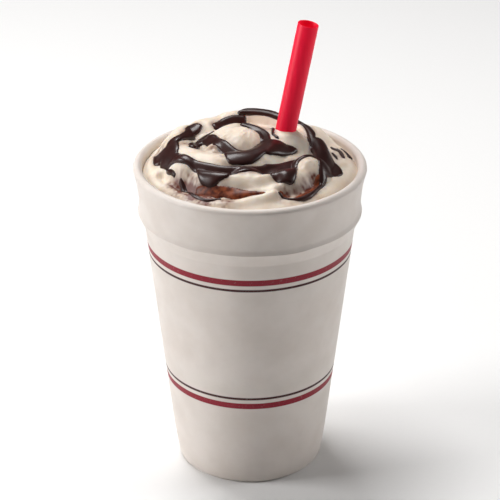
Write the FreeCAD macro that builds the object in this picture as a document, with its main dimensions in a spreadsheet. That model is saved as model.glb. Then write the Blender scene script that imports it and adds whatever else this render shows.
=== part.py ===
"""A milkshake in a foam cup: cup, straw, swirled shake and poured fudge sauce.

Frame: millimetres, +Z up, origin on the ground in the middle of the cup's foot ring.
-Y is the front and the straw leans towards +X.
"""

import FreeCAD
import Part
import Sketcher

import math
import os
import re

# Driving sizes, in millimetres unless the name says otherwise.
SIZES = {
    # foam cup
    "cup_height": 133.0,
    "rim_radius": 47.0,
    "base_radius": 30.0,
    "cup_wall": 2.5,
    "floor_thickness": 2.5,
    "recess_depth": 2.5,
    "foot_ring_width": 5.0,
    "foot_height": 13.0,
    "foot_flare": 2.0,
    "lip_radius": 1.8,
    "lip_drop": 4.0,
    "lip_bulge": 0.6,
    "collar_drop": 20.4,
    "collar_inset": 1.8,
    "collar_curve": 70.0,
    "bead_height": 1.8,
    "bead_relief": 0.35,
    "shoulder_height": 5.3,
    "shoulder_inset": 2.4,
    "base_fillet": 2.0,
    "bead_fillet": 0.6,
    "floor_fillet": 4.0,
    # straw
    "straw_diameter": 8.4,
    "straw_wall": 0.4,
    "straw_length": 183.0,
    "straw_lean_degrees": 10.7,
    "straw_offset_x": 12.4,
    "straw_offset_y": 8.0,
    "straw_foot_gap": 4.0,
    # shake
    "dome_rise": 9.2,
    "dome_fall": 13.5,
    "edge_drop": 4.2,
    "ridge_width": 6.2,
    "ridge_drop": 6.5,
    "heart_width": 7.0,
    "heart_drop": 4.6,
    "fold_width": 3.8,
    "fold_drop": 4.2,
    "groove_width": 2.6,
    "groove_depth": 3.0,
    "blend": 0.6,
    "skirt_share": 0.84,
    # sauce
    "fudge_thickness": 1.8,
    "syrup_thickness": 0.7,
    "headroom": 40.0,
}

# Ropes of soft shake along spirals: first and last angle in degrees, shares of the mouth
# radius and rises over the lip.
FOLD = {"angles": (-128, -75), "shares": (0.96, 0.79), "rises": (-2.4, 3.2)}
RIDGE = {
    "angles": (-215, 150), "shares": (0.70, 0.60), "rises": (5.1, 8.7), "tilt": 1.1,
    "saddle": 1.9,
}
HEART = {
    "angles": (150, 520), "shares": (0.62, 0.16), "rises": (8.9, 13.0), "closing": 1.7,
    "shift": (-3.5, 1.5),
}
GROOVE = {"angles": (-160, -70), "shares": (0.84, 0.69), "rises": (0, 0)}

# Rounded dollops: angle in degrees, share of the mouth radius, rise over the lip,
# half width and the drop at that half width.
DOLLOPS = (
    (-151.0, 0.66, 8.4, 8.0, 6.0),
    (-93.0, 0.57, 7.2, 8.6, 5.2),
    (-32.0, 0.63, 8.4, 7.5, 6.0),
    (-153.0, 0.36, 10.2, 6.0, 5.0),
    (-166.0, 0.10, 14.6, 10.0, 5.0),
    (40.0, 0.72, 6.4, 8.0, 4.0),
    (135.0, 0.60, 10.6, 8.5, 5.0),
    (24.0, 0.34, 12.0, 9.0, 4.5),
)

# The broad dome leans back and to the left, and rolls off past a share of the mouth radius.
DOME_CENTRE = (-2.0, 4.0)
DOME_SHOULDER = 0.69
DOME_ROLL_OFF = 0.05

# The ring of shake against the wall is a little wavy.
SKIRT_RISE = 0.1
SKIRT_WAVE = 0.35
SKIRT_TURN = 0.6
SKIRT_SLOPE = 0.035

# Poured strokes: each point is an angle in degrees, a share of the mouth radius and the
# stroke's half width there, which is meant for the drawn mouth and grows or shrinks with it.
# Strokes of one node run into each other.
DRAWN_MOUTH = 43.4
STROKES = {
    "fudge_front": (
        (
            (-170, 0.78, 2.4), (-154, 0.70, 2.2), (-145, 0.66, 1.8), (-137, 0.64, 1.9),
            (-128, 0.62, 2.3), (-118, 0.60, 2.5), (-110, 0.575, 2.2), (-101, 0.55, 1.8),
            (-90, 0.525, 1.7), (-78, 0.50, 1.8), (-66, 0.49, 2.4), (-52, 0.49, 2.6),
            (-38, 0.50, 2.6), (-28, 0.54, 2.8), (-22, 0.58, 2.8),
        ),
        ((178, 0.72, 2.2), (172, 0.64, 2.0), (160, 0.60, 2.4)),
        ((47, 0.66, 1.5), (41, 0.69, 1.9), (31, 0.66, 1.9), (22, 0.62, 1.6), (14, 0.60, 1.8)),
        (
            (-34, 0.80, 1.6), (-40, 0.82, 1.3), (-47, 0.855, 1.3), (-54, 0.885, 1.5),
            (-61, 0.885, 1.2), (-67, 0.85, 1.0), (-70, 0.81, 1.0),
        ),
    ),
    "fudge_heart": (
        (
            (-167, 0.53, 1.6), (178, 0.50, 1.5), (169, 0.43, 1.4), (-179, 0.35, 1.6),
            (-160, 0.325, 1.9), (-140, 0.31, 2.0), (-124, 0.33, 2.4),
        ),
        ((-20, 0.15, 2.2), (20, 0.135, 2.2), (60, 0.15, 2.0), (92, 0.19, 1.8), (106, 0.22, 1.5)),
    ),
    "fudge_crest": (
        ((130, 0.47, 2.2), (120, 0.485, 3.0), (108, 0.505, 2.8), (97, 0.53, 1.3)),
    ),
    "fudge_back": (
        ((99, 0.59, 1.0), (91, 0.61, 2.0), (82, 0.62, 2.3), (72, 0.62, 2.2), (64, 0.61, 1.8)),
    ),
    "syrup_pool": (),
}

# Poured sheets: each is the closed outline of a wider run of sauce, as angles in degrees
# and shares of the mouth radius.
SHEETS = {
    "fudge_front": (
        (
            (173, 0.90), (176, 0.85), (-175, 0.77), (-166, 0.72), (-165, 0.79), (-172, 0.83),
            (-176, 0.89),
        ),
        ((177, 0.86), (178, 0.80), (179, 0.73), (-180, 0.67), (-169, 0.66), (-165, 0.70), (-172, 0.78)),
        ((164, 0.63), (152, 0.68), (144, 0.67), (143, 0.56), (150, 0.54), (157, 0.57), (168, 0.59)),
        (
            (-140, 0.63), (-131, 0.61), (-120, 0.58), (-108, 0.55), (-106, 0.66), (-112, 0.71),
            (-117, 0.75), (-123, 0.75), (-129, 0.73), (-136, 0.67),
        ),
        (
            (-74, 0.46), (-60, 0.44), (-42, 0.44), (-30, 0.50), (-43, 0.59), (-54, 0.71),
            (-60, 0.76), (-67, 0.73), (-72, 0.65),
        ),
        (
            (14, 0.57), (20, 0.65), (17, 0.73), (2, 0.74), (-7, 0.82), (-18, 0.89), (-27, 0.83),
            (-36, 0.80), (-32, 0.73), (-24, 0.66), (-4, 0.58), (4, 0.55),
        ),
    ),
    "fudge_heart": (
        (
            (-148, 0.29), (-124, 0.27), (-107, 0.26), (-89, 0.23), (-60, 0.16), (-20, 0.17),
            (-50, 0.30), (-74, 0.38), (-87, 0.45), (-96, 0.48), (-105, 0.50), (-114, 0.50),
            (-124, 0.42),
        ),
        ((-45, 0.14), (-18, 0.23), (-9, 0.32), (-8, 0.44), (-24, 0.40), (-45, 0.37), (-66, 0.34)),
    ),
    "syrup_pool": (
        (
            (-129, 0.77), (-121, 0.74), (-112, 0.73), (-100, 0.73), (-88, 0.76), (-80, 0.79),
            (-90, 0.81), (-100, 0.82), (-108, 0.80), (-116, 0.83), (-124, 0.84),
        ),
    ),
}

SURFACE_SAMPLES = 49
STATION_STEP = 1.6
END_STEPS = 6

document = FreeCAD.newDocument("Milkshake")
sheet = document.addObject("Spreadsheet::Sheet", "Sizes")

FLOOR_TOP = "recess_depth + floor_thickness"
FLOOR_RADIUS = f"base_radius - cup_wall + foot_flare * ({FLOOR_TOP}) / foot_height"
MOUTH_RADIUS = "rim_radius - 2 * lip_radius"
STRAW_FOOT = f"{FLOOR_TOP} + straw_foot_gap"

# Half sections as corners of (radius, height).
CUP_OUTSIDE = [
    ("0", "recess_depth"),
    ("base_radius - foot_ring_width", "recess_depth"),
    ("base_radius - foot_ring_width", "0"),
    ("base_radius", "0"),
    ("base_radius + foot_flare", "foot_height"),
    ("rim_radius - collar_inset - shoulder_inset", "cup_height - collar_drop - shoulder_height"),
    ("rim_radius - collar_inset", "cup_height - collar_drop"),
    ("rim_radius - collar_inset - bead_relief", "cup_height - collar_drop + bead_height"),
    ("rim_radius - lip_bulge", "cup_height - lip_drop"),
    ("rim_radius", "cup_height - lip_radius"),
]
CUP_INSIDE = [
    (MOUTH_RADIUS, "cup_height - lip_radius"),
    (
        "rim_radius - collar_inset - bead_relief - cup_wall",
        "cup_height - collar_drop + bead_height",
    ),
    (
        "rim_radius - collar_inset - shoulder_inset - cup_wall",
        "cup_height - collar_drop - shoulder_height",
    ),
    ("base_radius + foot_flare - cup_wall", "foot_height"),
    (FLOOR_RADIUS, FLOOR_TOP),
    ("0", FLOOR_TOP),
]
COLLAR_EDGE = 7
LIP_EDGE = 9


def bound(expression):
    """Point every alias of a size expression at the sheet."""
    return re.sub(r"[a-z]\w*", r"Sizes.\g<0>", expression)


def evaluate(expression):
    """Work out a size expression from the sheet's values."""
    return float(sheet.evalExpression(bound(expression)))


def fill_sheet():
    """Write every driving size into the sheet as plain text with its alias."""
    for row, (alias, value) in enumerate(SIZES.items(), start=1):
        sheet.set(f"A{row}", alias)
        sheet.set(f"B{row}", str(value))
        sheet.setAlias(f"B{row}", alias)
    document.recompute()


def attached_sketch(body, name, role):
    """Add a sketch that lies on one of the body's own origin planes."""
    plane = next(item for item in body.Origin.OriginFeatures if item.Role == role)
    sketch = body.newObject("Sketcher::SketchObject", name)
    sketch.AttachmentSupport = [(plane, "")]
    sketch.MapMode = "FlatFace"
    return sketch


def bind(sketch, constraint, expression):
    """Add a constraint whose value follows a size expression."""
    index = sketch.addConstraint(constraint)
    sketch.setExpression(f"Constraints[{index}]", bound(expression))


def bind_corner(sketch, edge, point, radius, height):
    """Hold a corner of a half section at its radius and height."""
    if radius == "0":
        sketch.addConstraint(Sketcher.Constraint("PointOnObject", edge, point, -2))
    else:
        across = Sketcher.Constraint("DistanceX", -1, 1, edge, point, evaluate(radius))
        bind(sketch, across, radius)
    if height == "0":
        sketch.addConstraint(Sketcher.Constraint("PointOnObject", edge, point, -1))
    else:
        upward = Sketcher.Constraint("DistanceY", -1, 1, edge, point, evaluate(height))
        bind(sketch, upward, height)


def arc_between(start, end, radius, side):
    """Return the arc of at most half a turn that bulges to one side of its chord."""
    chord = end - start
    half = chord.Length / 2
    across = FreeCAD.Vector(-chord.y, chord.x, 0).normalize()
    to_centre = math.sqrt(max(radius**2 - half**2, 0.0))
    centre = (start + end) * 0.5 - across * (to_centre * side)
    first, last = (end, start) if side > 0 else (start, end)
    angles = [math.atan2(point.y - centre.y, point.x - centre.x) for point in (first, last)]
    circle = Part.Circle(centre, FreeCAD.Vector(0, 0, 1), radius)
    return Part.ArcOfCircle(circle, *angles)


def turned_body(label, corners, arcs):
    """Turn a closed half section about the vertical axis.

    corners holds (radius, height) expressions in order. arcs maps an edge's number to its
    radius expression and the side it bulges to.
    """
    body = document.addObject("PartDesign::Body", label)
    body.Label = label
    sketch = attached_sketch(body, label + "_section", "XZ_Plane")
    points = [FreeCAD.Vector(evaluate(radius), evaluate(height), 0) for radius, height in corners]
    count = len(corners)
    for edge, start in enumerate(points):
        end = points[(edge + 1) % count]
        if edge in arcs:
            radius, side = arcs[edge]
            sketch.addGeometry(arc_between(start, end, evaluate(radius), side))
        else:
            sketch.addGeometry(Part.LineSegment(start, end))
    ends = [(2, 1) if edge in arcs and arcs[edge][1] > 0 else (1, 2) for edge in range(count)]
    for edge in range(count):
        after = (edge + 1) % count
        meeting = Sketcher.Constraint("Coincident", edge, ends[edge][1], after, ends[after][0])
        sketch.addConstraint(meeting)
    for edge, (radius, height) in enumerate(corners):
        bind_corner(sketch, edge, ends[edge][0], radius, height)
    for edge, (radius, _) in arcs.items():
        if edge == LIP_EDGE:
            lip_height = corners[edge][1]
            level = Sketcher.Constraint("DistanceY", -1, 1, edge, 3, evaluate(lip_height))
            bind(sketch, level, lip_height)
        else:
            bind(sketch, Sketcher.Constraint("Radius", edge, evaluate(radius)), radius)
    turned = body.newObject("PartDesign::Revolution", label + "_turned")
    turned.Profile = sketch
    turned.ReferenceAxis = (sketch, ["V_Axis"])
    turned.Angle = 360.0
    document.recompute()
    return body


def round_edge(body, name, radius, edge_radius, edge_height):
    """Round the circular edge of a turned body at a given radius and height."""
    base = body.Tip
    names = [
        f"Edge{number}"
        for number, edge in enumerate(base.Shape.Edges, start=1)
        if isinstance(edge.Curve, Part.Circle)
        and abs(edge.Curve.Radius - evaluate(edge_radius)) < 0.01
        and abs(edge.Curve.Center.z - evaluate(edge_height)) < 0.01
    ]
    fillet = body.newObject("PartDesign::Fillet", name)
    fillet.Base = (base, names)
    fillet.setExpression("Radius", bound(radius))
    document.recompute()


def build_cup():
    """Build the foam cup: foot ring, tapered wall, collar with its bead and rolled lip."""
    arcs = {COLLAR_EDGE: ("collar_curve", 1), LIP_EDGE: ("lip_radius", -1)}
    cup = turned_body("foam_cup", CUP_OUTSIDE + CUP_INSIDE, arcs)
    round_edge(cup, "base_round", "base_fillet", "base_radius", "0")
    bead = CUP_OUTSIDE[COLLAR_EDGE - 1]
    round_edge(cup, "bead_round", "bead_fillet", *bead)
    round_edge(cup, "floor_round", "floor_fillet", FLOOR_RADIUS, FLOOR_TOP)
    return cup


def build_inner_space():
    """Build the room inside the cup, carried straight up from the mouth."""
    top = "cup_height + headroom"
    corners = [(MOUTH_RADIUS, top)] + CUP_INSIDE + [("0", top)]
    space = turned_body("inner_space", corners, {})
    round_edge(space, "space_round", "floor_fillet", FLOOR_RADIUS, FLOOR_TOP)
    return space


def set_on_lean(item):
    """Stand a straw-shaped object on its foot point and lean it to the side."""
    item.Placement = FreeCAD.Placement(
        FreeCAD.Vector(0, 0, 0), FreeCAD.Rotation(FreeCAD.Vector(0, 1, 0), 10)
    )
    drop = f"(Sizes.cup_height - ({bound(STRAW_FOOT)})) * tan(Sizes.straw_lean_degrees)"
    item.setExpression("Placement.Base.x", f"Sizes.straw_offset_x - {drop}")
    item.setExpression("Placement.Base.y", "Sizes.straw_offset_y")
    item.setExpression("Placement.Base.z", bound(STRAW_FOOT))
    item.setExpression("Placement.Rotation.Angle", "Sizes.straw_lean_degrees")


def build_straw():
    """Build the open tube of the straw."""
    straw = document.addObject("PartDesign::Body", "straw")
    straw.Label = "straw"
    sketch = attached_sketch(straw, "straw_ring", "XY_Plane")
    middle = FreeCAD.Vector(0, 0, 0)
    upward = FreeCAD.Vector(0, 0, 1)
    for edge, diameter in enumerate(("straw_diameter", "straw_diameter - 2 * straw_wall")):
        sketch.addGeometry(Part.Circle(middle, upward, evaluate(diameter) / 2))
        sketch.addConstraint(Sketcher.Constraint("Coincident", edge, 3, -1, 1))
        bind(sketch, Sketcher.Constraint("Diameter", edge, evaluate(diameter)), diameter)
    tube = straw.newObject("PartDesign::Pad", "straw_tube")
    tube.Profile = sketch
    tube.setExpression("Length", "Sizes.straw_length")
    set_on_lean(straw)
    document.recompute()
    return straw


class Coil:
    """A round-backed rope of soft shake laid along a spiral, falling away evenly past its ends."""

    def __init__(self, angles, shares, rises, width, drop, closing=1.0, tilt=0.0, saddle=0.0,
                 shift=(0.0, 0.0)):
        """Take first and last angle, share of the mouth radius and rise over the lip."""
        self.angles = angles
        self.shares = shares
        self.rises = rises
        self.width = width
        self.drop = drop
        self.closing = closing
        self.tilt = tilt
        self.saddle = saddle
        self.shift = shift

    def rise(self, x, y, mouth):
        """Return the rope's height over the lip at a place."""
        x -= self.shift[0]
        y -= self.shift[1]
        first, last = self.angles
        distance = math.hypot(x, y)
        bearing = math.degrees(math.atan2(y, x))
        turns = range(math.floor((first - 180) / 360), math.ceil((last + 180) / 360) + 1)
        return max(self.rise_on_turn(distance, bearing + 360 * turn, mouth) for turn in turns)

    def rise_on_turn(self, distance, angle, mouth):
        """Return the rope's height over the lip as seen from one of its turns."""
        first, last = self.angles
        along = min(max((angle - first) / (last - first), 0.0), 1.0)
        closed = 1 - (1 - along) ** self.closing
        radius = mouth * (self.shares[0] + (self.shares[1] - self.shares[0]) * closed)
        past_end = min(max(first - angle, angle - last, 0.0), 180.0)
        apart = (distance - radius) ** 2 + (math.radians(past_end) * radius) ** 2
        turned = math.radians(angle)
        crest = self.rises[0] + (self.rises[1] - self.rises[0]) * along
        crest += self.tilt * math.sin(turned) - self.saddle * math.cos(2 * turned)
        return crest - self.drop * apart / self.width**2


def soft_maximum(values, blend):
    """Return the largest value, with neighbours melted into it over a blend height."""
    peak = max(values)
    return peak + blend * math.log(sum(math.exp((value - peak) / blend) for value in values))


class Swirl:
    """The swirled top of the shake as a height over every place in the mouth."""

    def __init__(self):
        """Lay out the coils and dollops from the sheet's sizes."""
        self.lip = evaluate("cup_height")
        self.mouth = evaluate(MOUTH_RADIUS)
        self.skirt = self.mouth * evaluate("skirt_share")
        self.dome_rise = evaluate("dome_rise")
        self.dome_fall = evaluate("dome_fall")
        self.edge_drop = evaluate("edge_drop")
        self.groove_depth = evaluate("groove_depth")
        self.blend = evaluate("blend")
        self.coils = (
            Coil(width=evaluate("fold_width"), drop=evaluate("fold_drop"), **FOLD),
            Coil(width=evaluate("ridge_width"), drop=evaluate("ridge_drop"), **RIDGE),
            Coil(width=evaluate("heart_width"), drop=evaluate("heart_drop"), **HEART),
        )
        self.groove = Coil(width=evaluate("groove_width"), drop=1.0, **GROOVE)

    def dome_height(self, x, y):
        """Return the broad dome that carries the coils, over the lip."""
        reach = math.hypot(x - DOME_CENTRE[0], y - DOME_CENTRE[1]) / self.mouth
        beyond = max(math.hypot(x, y) - DOME_SHOULDER * self.mouth, 0.0)
        return self.dome_rise - self.dome_fall * reach**2 - DOME_ROLL_OFF * beyond**2

    def skirt_height(self, x, y):
        """Return the ring of shake against the wall, over the lip."""
        beyond = math.hypot(x, y) - self.skirt
        wave = SKIRT_RISE + SKIRT_WAVE * math.sin(2 * math.atan2(y, x) + SKIRT_TURN)
        if beyond > 0:
            return wave - self.edge_drop * (beyond / (self.mouth - self.skirt)) ** 2
        return wave - SKIRT_SLOPE * beyond**2

    def height(self, x, y):
        """Return the height of the shake's top over the ground."""
        rises = [self.dome_height(x, y), self.skirt_height(x, y)]
        rises += [coil.rise(x, y, self.mouth) for coil in self.coils]
        for degrees, share, rise, width, drop in DOLLOPS:
            turned = math.radians(degrees)
            away_x = x - share * self.mouth * math.cos(turned)
            away_y = y - share * self.mouth * math.sin(turned)
            rises.append(rise - drop * (away_x**2 + away_y**2) / width**2)
        sunk = self.groove_depth * math.exp(min(self.groove.rise(x, y, self.mouth), 0.0))
        return self.lip + soft_maximum(rises, self.blend) - sunk


def build_swirl_face(swirl):
    """Build the swirled top as one smooth face a little wider than the mouth."""
    reach = swirl.mouth + evaluate("lip_radius")
    steps = [reach * (2 * number / (SURFACE_SAMPLES - 1) - 1) for number in range(SURFACE_SAMPLES)]
    grid = [[FreeCAD.Vector(x, y, swirl.height(x, y)) for y in steps] for x in steps]
    surface = Part.BSplineSurface()
    surface.interpolate(grid)
    face = document.addObject("Part::Feature", "swirl_face")
    face.Shape = surface.toShape()
    return face


def extruded(name, base, length):
    """Carry a face straight up into a solid."""
    solid = document.addObject("Part::Extrusion", name)
    solid.Base = base
    solid.DirMode = "Custom"
    solid.Dir = FreeCAD.Vector(0, 0, 1)
    solid.Solid = True
    solid.setExpression("LengthFwd", bound(length))
    return solid


def cut(name, base, tool):
    """Take one object away from another."""
    result = document.addObject("Part::Cut", name)
    result.Label = name
    result.Base = base
    result.Tool = tool
    return result


def build_shake(swirl_face, inner_space, straw):
    """Build the shake: the cup's room below the swirled face, cut round the straw's wall."""
    air = extruded("air", swirl_face, "2 * headroom")
    filled = cut("shake_mass", inner_space, air)
    return cut("shake", filled, straw)


def half_width(points, knots, at):
    """Return a stroke's half width part of the way between its points."""
    for number in range(len(knots) - 1):
        if at <= knots[number + 1]:
            part = (at - knots[number]) / (knots[number + 1] - knots[number])
            return points[number][2] + (points[number + 1][2] - points[number][2]) * part
    return points[-1][2]


def half_round(middle, radius, start_angle):
    """Return points half way round a circle, left out at both ends."""
    angles = [start_angle + math.pi * step / END_STEPS for step in range(1, END_STEPS)]
    return [
        middle + FreeCAD.Vector(math.cos(angle), math.sin(angle), 0) * radius for angle in angles
    ]


def place_at(degrees, share, mouth):
    """Return the place at an angle and a share of the mouth's radius."""
    turned = math.radians(degrees)
    return FreeCAD.Vector(math.cos(turned), math.sin(turned), 0) * (share * mouth)


def sheet_face(outline, mouth):
    """Return the plan of a poured sheet as a face with a smooth closed edge."""
    edge = Part.BSplineCurve()
    places = [place_at(degrees, share, mouth) for degrees, share in outline]
    edge.interpolate(Points=places, PeriodicFlag=True)
    return Part.Face(Part.Wire(edge.toShape()))


def stroke_face(points, mouth):
    """Return the plan of a poured stroke, with round ends, as a face."""
    places = [place_at(degrees, share, mouth) for degrees, share, _ in points]
    growth = mouth / DRAWN_MOUTH
    route = Part.BSplineCurve()
    route.interpolate(Points=places)
    knots = [route.parameter(place) for place in places]
    count = math.ceil(route.length() / STATION_STEP)
    left = []
    right = []
    for number in range(count + 1):
        at = knots[0] + (knots[-1] - knots[0]) * number / count
        along = route.tangent(at)[0]
        aside = FreeCAD.Vector(-along.y, along.x, 0) * (growth * half_width(points, knots, at))
        left.append(route.value(at) + aside)
        right.append(route.value(at) - aside)
    first_way = route.tangent(knots[0])[0]
    last_way = route.tangent(knots[-1])[0]
    first_turn = math.atan2(first_way.y, first_way.x) + math.pi / 2
    last_turn = math.atan2(last_way.y, last_way.x) - math.pi / 2
    first_end = half_round(places[0], growth * points[0][2], first_turn)
    last_end = half_round(places[-1], growth * points[-1][2], last_turn)
    outline = right + last_end + left[::-1] + first_end
    return Part.Face(Part.makePolygon(outline + outline[:1]))


def build_sauce(name, slab, keep_out, mouth):
    """Build one pour of sauce: its plan seen from above, cut from a slab over the shake.

    keep_out lists what the pour stops at: the straw and the pour that it runs up to.
    """
    faces = [stroke_face(points, mouth) for points in STROKES[name]]
    faces += [sheet_face(outline, mouth) for outline in SHEETS.get(name, ())]
    prisms = []
    for number, face in enumerate(faces, start=1):
        plan = document.addObject("Part::Feature", f"{name}_plan_{number}")
        plan.Shape = face
        prisms.append(extruded(f"{name}_prism_{number}", plan, "cup_height + headroom"))
    outline = prisms[0]
    if len(prisms) > 1:
        outline = document.addObject("Part::MultiFuse", f"{name}_prisms")
        outline.Shapes = prisms
    layer = document.addObject("Part::Common", f"{name}_layer")
    layer.Base = outline
    layer.Tool = slab
    for number, solid in enumerate(keep_out[:-1], start=1):
        layer = cut(f"{name}_short_of_{number}", layer, solid)
    return cut(name, layer, keep_out[-1])


def checked(item):
    """Return a sub-part once its shape is sound."""
    if item.Shape.isNull() or not item.Shape.isValid() or len(item.Shape.Solids) != 1:
        raise RuntimeError(f"{item.Label} has no sound single solid")
    return item


def main():
    """Build every sub-part and write each to its own file."""
    fill_sheet()
    cup = build_cup()
    inner_space = build_inner_space()
    straw = build_straw()
    straw_room = document.addObject("Part::Cylinder", "straw_room")
    straw_room.setExpression("Radius", "Sizes.straw_diameter / 2")
    straw_room.setExpression("Height", "Sizes.straw_length")
    set_on_lean(straw_room)
    swirl = Swirl()
    swirl_face = build_swirl_face(swirl)
    shake = build_shake(swirl_face, inner_space, straw)
    fudge_slab = extruded("fudge_slab", swirl_face, "fudge_thickness")
    syrup_slab = extruded("syrup_slab", swirl_face, "syrup_thickness")
    sub_parts = [cup, straw, shake]
    keep_out = [straw_room]
    for name in STROKES:
        slab = syrup_slab if name == "syrup_pool" else fudge_slab
        pour = build_sauce(name, slab, keep_out, swirl.mouth)
        if name == "fudge_front":
            keep_out = [straw_room, pour]
        sub_parts.append(pour)
    document.recompute()
    for item in document.Objects:
        if "Invalid" in item.State or "Error" in item.State:
            raise RuntimeError(f"{item.Name} failed to build")
    os.makedirs("parts", exist_ok=True)
    for item in sub_parts:
        checked(item)
    for item in sub_parts:
        item.Shape.exportStep(f"parts/{item.Label}.step")
        box = item.Shape.BoundBox
        print(f"{item.Label}: {item.Shape.Volume:.0f} mm3, {box.XMin:.1f} {box.YMin:.1f} "
              f"{box.ZMin:.1f} to {box.XMax:.1f} {box.YMax:.1f} {box.ZMax:.1f}")


main()
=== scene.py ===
"""A milkshake in a foam cup: the looks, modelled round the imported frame.

Every length in a class below is in millimetres, and becomes metres as a mesh is written. Places
on the drink are an angle in degrees, counted from the right towards the back, and a share of the
mouth's radius.
"""

import logging
import math
from dataclasses import dataclass, field
from enum import Enum
from typing import Any, Iterable

import bpy
import numpy as np
from mathutils import Matrix, Vector


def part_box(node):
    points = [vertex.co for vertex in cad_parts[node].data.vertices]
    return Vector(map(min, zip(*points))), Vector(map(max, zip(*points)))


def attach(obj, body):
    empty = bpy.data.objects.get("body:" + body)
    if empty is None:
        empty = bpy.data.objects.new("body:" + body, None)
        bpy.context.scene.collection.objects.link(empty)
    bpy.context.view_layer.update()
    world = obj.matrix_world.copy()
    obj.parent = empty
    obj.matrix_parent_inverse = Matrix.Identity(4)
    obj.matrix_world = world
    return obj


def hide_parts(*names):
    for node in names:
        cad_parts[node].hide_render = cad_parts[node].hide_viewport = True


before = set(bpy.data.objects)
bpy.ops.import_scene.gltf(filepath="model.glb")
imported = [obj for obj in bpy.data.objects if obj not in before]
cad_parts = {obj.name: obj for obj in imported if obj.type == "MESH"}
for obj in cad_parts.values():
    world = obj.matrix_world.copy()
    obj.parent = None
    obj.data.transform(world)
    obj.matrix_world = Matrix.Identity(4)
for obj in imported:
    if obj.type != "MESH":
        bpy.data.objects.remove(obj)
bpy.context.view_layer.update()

LOG = logging.getLogger("milkshake")
MM = 0.001
BODY = "root"
FAR = 99.0  # further than any place on the drink

Point = tuple[float, float]
Stroke = tuple[tuple[float, float, float], ...]
Outline = tuple[tuple[float, float], ...]
SmearAndShade = tuple[float, float, float, float]
Array = np.ndarray
Pattern = tuple[bpy.types.NodeSocket, bpy.types.NodeSocket]


class Slot(Enum):
    """The record's material slots."""

    FOAM = "foam"
    STRAW = "straw_plastic"
    SHAKE = "shake"
    FUDGE = "fudge"
    SYRUP = "syrup"


# ---- Small tools ----


def linear(hex_colour: str) -> tuple[float, float, float, float]:
    """Turn an sRGB hex colour into linear RGBA.

    Args:
        hex_colour: Six hex digits, with or without a leading hash.

    Returns:
        Linear red, green, blue and an alpha of one.
    """
    digits = hex_colour.lstrip("#")
    channels = [int(digits[at : at + 2], 16) / 255 for at in (0, 2, 4)]
    curved = [c / 12.92 if c <= 0.04045 else ((c + 0.055) / 1.055) ** 2.4 for c in channels]
    return (curved[0], curved[1], curved[2], 1.0)


def add_node(
    tree: bpy.types.NodeTree,
    kind: str,
    settings: dict[str, Any] | None = None,
    links: dict[Any, bpy.types.NodeSocket] | None = None,
) -> bpy.types.Node:
    """Add a shader node with its settings and incoming links.

    Args:
        tree: The material's node tree.
        kind: The node's type name.
        settings: Attributes of the node, or default values of its inputs by name or number.
        links: Input names or numbers and the sockets that feed them.

    Returns:
        The new node.
    """
    node = tree.nodes.new(kind)
    for name, value in (settings or {}).items():
        if isinstance(name, str) and hasattr(node, name):
            setattr(node, name, value)
        else:
            node.inputs[name].default_value = value
    for name, socket in (links or {}).items():
        tree.links.new(socket, node.inputs[name])
    return node


def mesh_piece(name: str, vertices: Array, faces: Array | list[Any]) -> bpy.types.Object:
    """Make a smooth mesh object from points in millimetres.

    Args:
        name: The piece's name.
        vertices: Points, one row each.
        faces: Corner numbers of each face.

    Returns:
        The new object, at the origin.
    """
    mesh = bpy.data.meshes.new(name)
    rows = faces.tolist() if isinstance(faces, np.ndarray) else faces
    mesh.from_pydata((np.asarray(vertices) * MM).tolist(), [], rows)
    mesh.validate()
    mesh.shade_smooth()
    piece = bpy.data.objects.new(name, mesh)
    bpy.context.scene.collection.objects.link(piece)
    return piece


def settle(piece: bpy.types.Object, material: bpy.types.Material, slot: Slot, *nodes: str) -> None:
    """Dress a finished piece, ride it on the body, hide the CAD nodes that it replaces and log its
    size.

    Args:
        piece: The finished object.
        material: Its material.
        slot: The record's slot meant for it; not used.
        nodes: The CAD nodes that it replaces.
    """
    piece.data.materials.clear()
    piece.data.materials.append(material)
    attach(piece, BODY)
    if nodes:
        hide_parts(*nodes)
    piece.data.calc_loop_triangles()
    LOG.info("%s: %d triangles", piece.name, len(piece.data.loop_triangles))


def smooth_noise(x: Array, y: Array, scale: float, seed: int) -> Array:
    """Return smooth value noise between -1 and 1.

    Args:
        x: First coordinate, in millimetres.
        y: Second coordinate, in millimetres.
        scale: Size of one bump, in millimetres.
        seed: Number that picks the pattern.

    Returns:
        Noise of the same shape as x.
    """
    cells = 128
    lattice = np.random.default_rng(seed).uniform(-1, 1, (cells, cells))
    u, v = x / scale + cells / 2, y / scale + cells / 2
    left, low = np.floor(u).astype(int), np.floor(v).astype(int)
    across, up = u - left, v - low
    across = across**3 * (across * (6 * across - 15) + 10)
    up = up**3 * (up * (6 * up - 15) + 10)
    left, low = left % (cells - 1), low % (cells - 1)
    bottom = lattice[left, low] * (1 - across) + lattice[left + 1, low] * across
    top = lattice[left, low + 1] * (1 - across) + lattice[left + 1, low + 1] * across
    return bottom * (1 - up) + top * up


# ---- Finishes ----


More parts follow.
